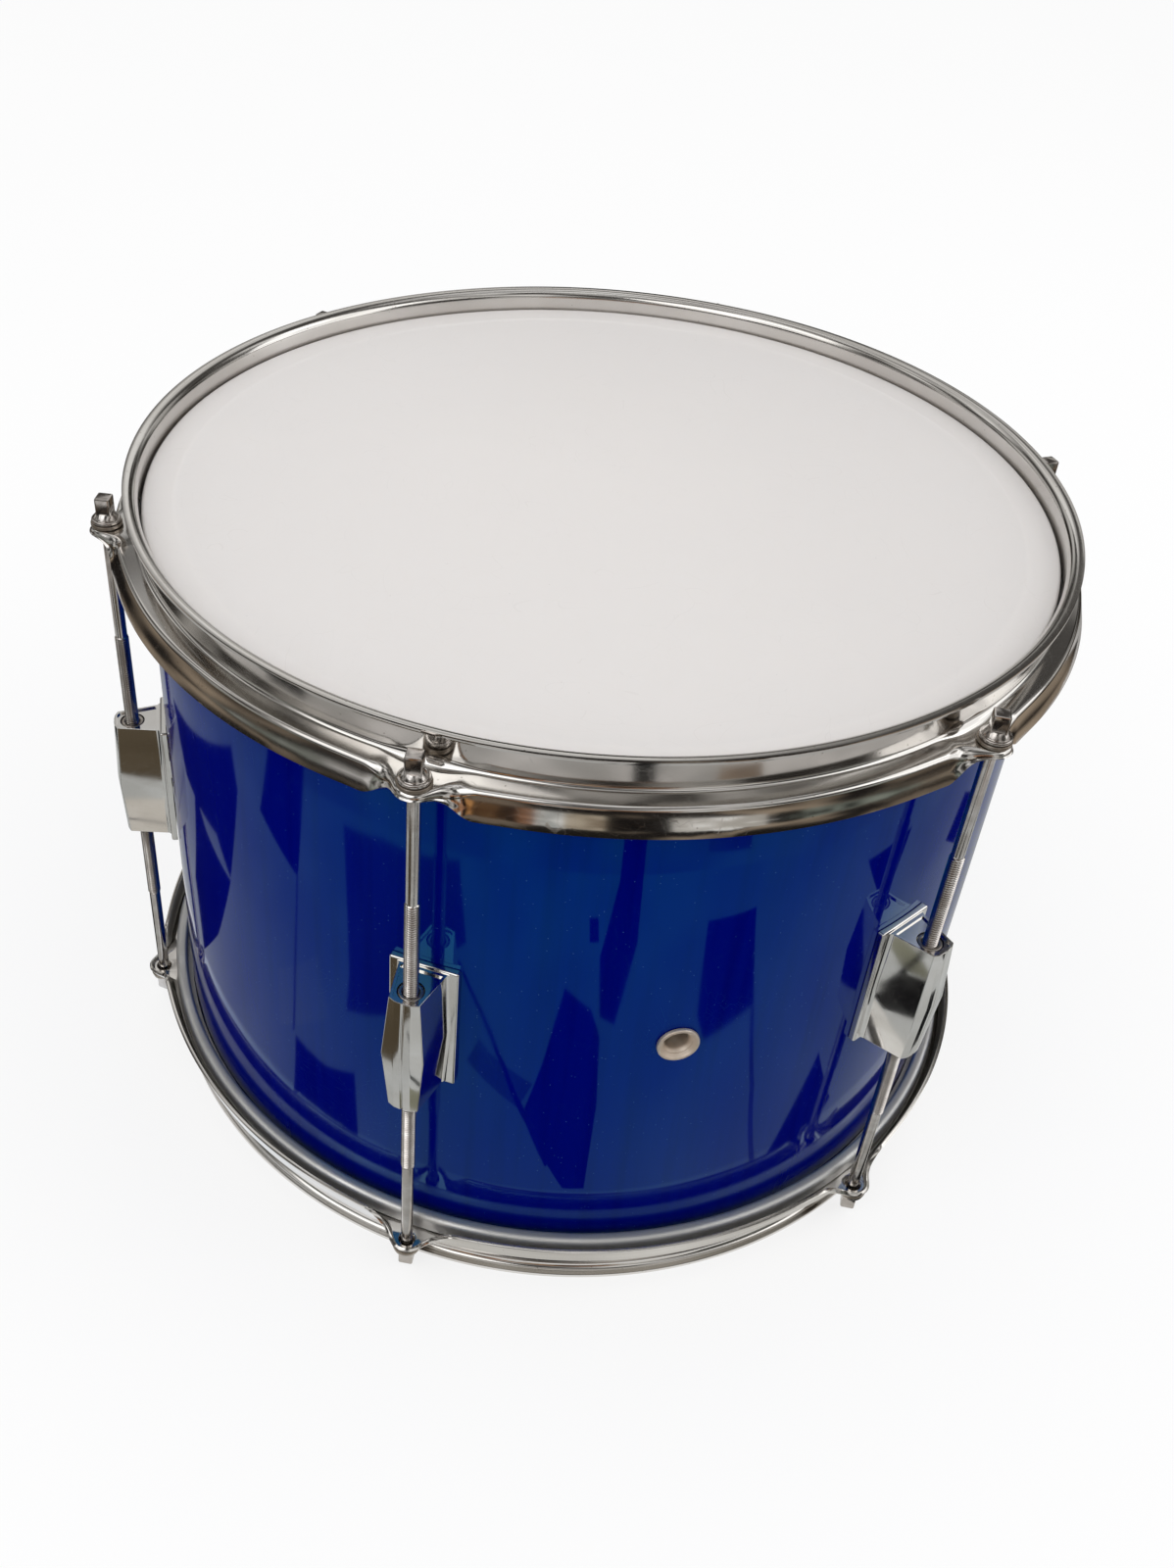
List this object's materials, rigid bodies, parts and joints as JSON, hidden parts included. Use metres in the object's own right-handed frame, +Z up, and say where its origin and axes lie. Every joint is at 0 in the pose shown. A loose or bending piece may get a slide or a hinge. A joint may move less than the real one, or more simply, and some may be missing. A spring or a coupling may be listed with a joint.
{
  "type": "tenor drum",
  "caption": "Marching tenor drum: lacquered shell with a playing head and a resonant head, pressed hoops with drawn ears, double-ended lugs and tension rods.",
  "frame": {"origin": "centre of the bottom hoop's lip, in the plane on which the drum stands", "axes": "+Z up along the drum's axis, towards the playing head; the air vent faces -Y"},
  "size_m": [0.4006, 0.3812, 0.2726],
  "materials": {
    "shell_lacquer": "deep blue gloss lacquer over bent plywood",
    "vent_metal": "pale nickel plate",
    "head_film": "smooth off-white polyester film, bonded into a metal flesh hoop",
    "hoop_chrome": "mirror chrome",
    "lug_chrome": "mirror chrome",
    "rod_chrome": "mirror chrome",
    "washer_steel": "bright plated steel",
    "nut_zinc": "zinc plate",
    "screw_zinc": "zinc plate"
  },
  "bodies": {
    "shell": {"shell": "shell_lacquer", "vent_grommet": "vent_metal", "top_head": "head_film", "bottom_head": "head_film", "lug_1": "lug_chrome", "lug_2": "lug_chrome", "lug_3": "lug_chrome", "lug_4": "lug_chrome", "lug_5": "lug_chrome", "lug_6": "lug_chrome", "top_nut_1": "nut_zinc", "top_nut_2": "nut_zinc", "top_nut_3": "nut_zinc", "top_nut_4": "nut_zinc", "top_nut_5": "nut_zinc", "top_nut_6": "nut_zinc", "bottom_nut_1": "nut_zinc", "bottom_nut_2": "nut_zinc", "bottom_nut_3": "nut_zinc", "bottom_nut_4": "nut_zinc", "bottom_nut_5": "nut_zinc", "bottom_nut_6": "nut_zinc", "top_lug_screw_1": "screw_zinc", "top_lug_screw_2": "screw_zinc", "top_lug_screw_3": "screw_zinc", "top_lug_screw_4": "screw_zinc", "top_lug_screw_5": "screw_zinc", "top_lug_screw_6": "screw_zinc", "bottom_lug_screw_1": "screw_zinc", "bottom_lug_screw_2": "screw_zinc", "bottom_lug_screw_3": "screw_zinc", "bottom_lug_screw_4": "screw_zinc", "bottom_lug_screw_5": "screw_zinc", "bottom_lug_screw_6": "screw_zinc"},
    "top_hoop": {"top_hoop": "hoop_chrome", "top_washer_1": "washer_steel", "top_washer_2": "washer_steel", "top_washer_3": "washer_steel", "top_washer_4": "washer_steel", "top_washer_5": "washer_steel", "top_washer_6": "washer_steel"},
    "bottom_hoop": {"bottom_hoop": "hoop_chrome", "bottom_washer_1": "washer_steel", "bottom_washer_2": "washer_steel", "bottom_washer_3": "washer_steel", "bottom_washer_4": "washer_steel", "bottom_washer_5": "washer_steel", "bottom_washer_6": "washer_steel"},
    "top_rod_1": {"top_rod_1": "rod_chrome"},
    "top_rod_2": {"top_rod_2": "rod_chrome"},
    "top_rod_3": {"top_rod_3": "rod_chrome"},
    "top_rod_4": {"top_rod_4": "rod_chrome"},
    "top_rod_5": {"top_rod_5": "rod_chrome"},
    "top_rod_6": {"top_rod_6": "rod_chrome"},
    "bottom_rod_1": {"bottom_rod_1": "rod_chrome"},
    "bottom_rod_2": {"bottom_rod_2": "rod_chrome"},
    "bottom_rod_3": {"bottom_rod_3": "rod_chrome"},
    "bottom_rod_4": {"bottom_rod_4": "rod_chrome"},
    "bottom_rod_5": {"bottom_rod_5": "rod_chrome"},
    "bottom_rod_6": {"bottom_rod_6": "rod_chrome"}
  },
  "joints": [
    {"name": "top_hoop_slide", "type": "slide", "parent": "shell", "child": "top_hoop", "axis": [0, 0, 1], "range_m": [0, 0.004]},
    {"name": "bottom_hoop_slide", "type": "slide", "parent": "shell", "child": "bottom_hoop", "axis": [0, 0, -1], "range_m": [0, 0.004]},
    {"name": "top_rod_1_turn", "type": "hinge", "parent": "top_hoop", "child": "top_rod_1", "pos_m": [0.09575, -0.16584, 0.1363], "axis": [0, 0, 1], "range_deg": [-5, 1365]},
    {"name": "top_rod_2_turn", "type": "hinge", "parent": "top_hoop", "child": "top_rod_2", "pos_m": [0.1915, 0, 0.1363], "axis": [0, 0, 1], "range_deg": [-5, 1365]},
    {"name": "top_rod_3_turn", "type": "hinge", "parent": "top_hoop", "child": "top_rod_3", "pos_m": [0.09575, 0.16584, 0.1363], "axis": [0, 0, 1], "range_deg": [-5, 1365]},
    {"name": "top_rod_4_turn", "type": "hinge", "parent": "top_hoop", "child": "top_rod_4", "pos_m": [-0.09575, 0.16584, 0.1363], "axis": [0, 0, 1], "range_deg": [-5, 1365]},
    {"name": "top_rod_5_turn", "type": "hinge", "parent": "top_hoop", "child": "top_rod_5", "pos_m": [-0.1915, 0, 0.1363], "axis": [0, 0, 1], "range_deg": [-5, 1365]},
    {"name": "top_rod_6_turn", "type": "hinge", "parent": "top_hoop", "child": "top_rod_6", "pos_m": [-0.09575, -0.16584, 0.1363], "axis": [0, 0, 1], "range_deg": [-5, 1365]},
    {"name": "bottom_rod_1_turn", "type": "hinge", "parent": "bottom_hoop", "child": "bottom_rod_1", "pos_m": [0.09575, -0.16584, 0.1363], "axis": [0, 0, -1], "range_deg": [-5, 1365]},
    {"name": "bottom_rod_2_turn", "type": "hinge", "parent": "bottom_hoop", "child": "bottom_rod_2", "pos_m": [0.1915, 0, 0.1363], "axis": [0, 0, -1], "range_deg": [-5, 1365]},
    {"name": "bottom_rod_3_turn", "type": "hinge", "parent": "bottom_hoop", "child": "bottom_rod_3", "pos_m": [0.09575, 0.16584, 0.1363], "axis": [0, 0, -1], "range_deg": [-5, 1365]},
    {"name": "bottom_rod_4_turn", "type": "hinge", "parent": "bottom_hoop", "child": "bottom_rod_4", "pos_m": [-0.09575, 0.16584, 0.1363], "axis": [0, 0, -1], "range_deg": [-5, 1365]},
    {"name": "bottom_rod_5_turn", "type": "hinge", "parent": "bottom_hoop", "child": "bottom_rod_5", "pos_m": [-0.1915, 0, 0.1363], "axis": [0, 0, -1], "range_deg": [-5, 1365]},
    {"name": "bottom_rod_6_turn", "type": "hinge", "parent": "bottom_hoop", "child": "bottom_rod_6", "pos_m": [-0.09575, -0.16584, 0.1363], "axis": [0, 0, -1], "range_deg": [-5, 1365]}
  ],
  "couplings": [
    {"joint": "top_rod_1_turn", "follows": "top_hoop_slide", "rad_per_m": 5927.5},
    {"joint": "top_rod_2_turn", "follows": "top_hoop_slide", "rad_per_m": 5927.5},
    {"joint": "top_rod_3_turn", "follows": "top_hoop_slide", "rad_per_m": 5927.5},
    {"joint": "top_rod_4_turn", "follows": "top_hoop_slide", "rad_per_m": 5927.5},
    {"joint": "top_rod_5_turn", "follows": "top_hoop_slide", "rad_per_m": 5927.5},
    {"joint": "top_rod_6_turn", "follows": "top_hoop_slide", "rad_per_m": 5927.5},
    {"joint": "bottom_rod_1_turn", "follows": "bottom_hoop_slide", "rad_per_m": 5927.5},
    {"joint": "bottom_rod_2_turn", "follows": "bottom_hoop_slide", "rad_per_m": 5927.5},
    {"joint": "bottom_rod_3_turn", "follows": "bottom_hoop_slide", "rad_per_m": 5927.5},
    {"joint": "bottom_rod_4_turn", "follows": "bottom_hoop_slide", "rad_per_m": 5927.5},
    {"joint": "bottom_rod_5_turn", "follows": "bottom_hoop_slide", "rad_per_m": 5927.5},
    {"joint": "bottom_rod_6_turn", "follows": "bottom_hoop_slide", "rad_per_m": 5927.5}
  ]
}
